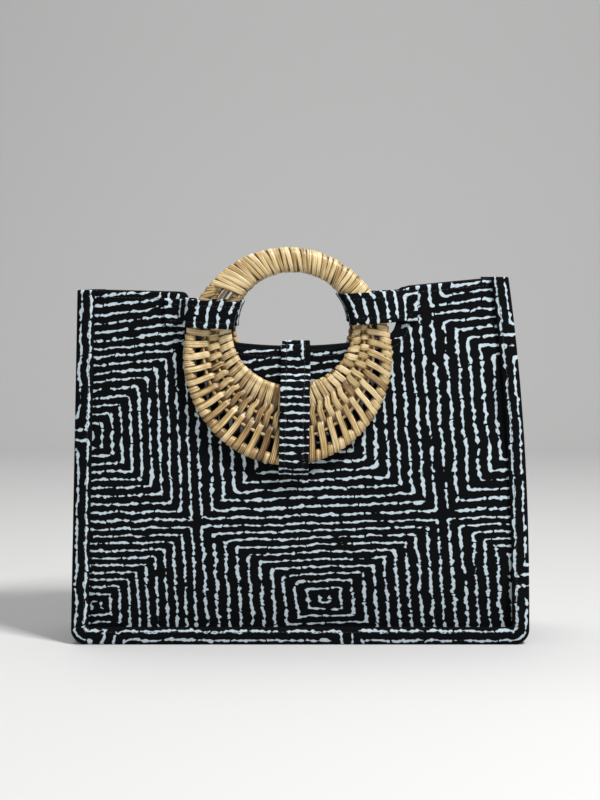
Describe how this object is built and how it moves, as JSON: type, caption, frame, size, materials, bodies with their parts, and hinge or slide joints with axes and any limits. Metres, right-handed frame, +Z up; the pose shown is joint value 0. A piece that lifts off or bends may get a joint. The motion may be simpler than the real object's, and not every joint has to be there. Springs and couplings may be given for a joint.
{
  "type": "cloth handbag with wicker ring handles",
  "caption": "Boxy open-topped printed cloth handbag, with woven cane ring handles held in scooped panels by cloth loops and straps.",
  "frame": {"origin": "on the surface that the bag stands on, under the middle of its box", "axes": "+X to the right as seen from the front, -Y out of the front, +Z up"},
  "size_m": [0.3897, 0.1334, 0.3362],
  "materials": {
    "printed_cotton": "matte black cotton printed with broken off-white lines in nested rectangles",
    "wicker": "satin straw-coloured split cane, wrapped and woven"
  },
  "bodies": {
    "root": {"border": "printed_cotton", "front_panel": "printed_cotton", "front_ring_grip": "wicker", "front_ring_outer_rim": "wicker", "front_ring_inner_rim": "wicker", "front_ring_weave": "wicker", "front_left_loop": "printed_cotton", "front_right_loop": "printed_cotton", "front_crescent_strap": "printed_cotton", "back_panel": "printed_cotton", "back_ring_grip": "wicker", "back_ring_outer_rim": "wicker", "back_ring_inner_rim": "wicker", "back_ring_weave": "wicker", "back_left_loop": "printed_cotton", "back_right_loop": "printed_cotton", "back_crescent_strap": "printed_cotton"}
  },
  "joints": []
}
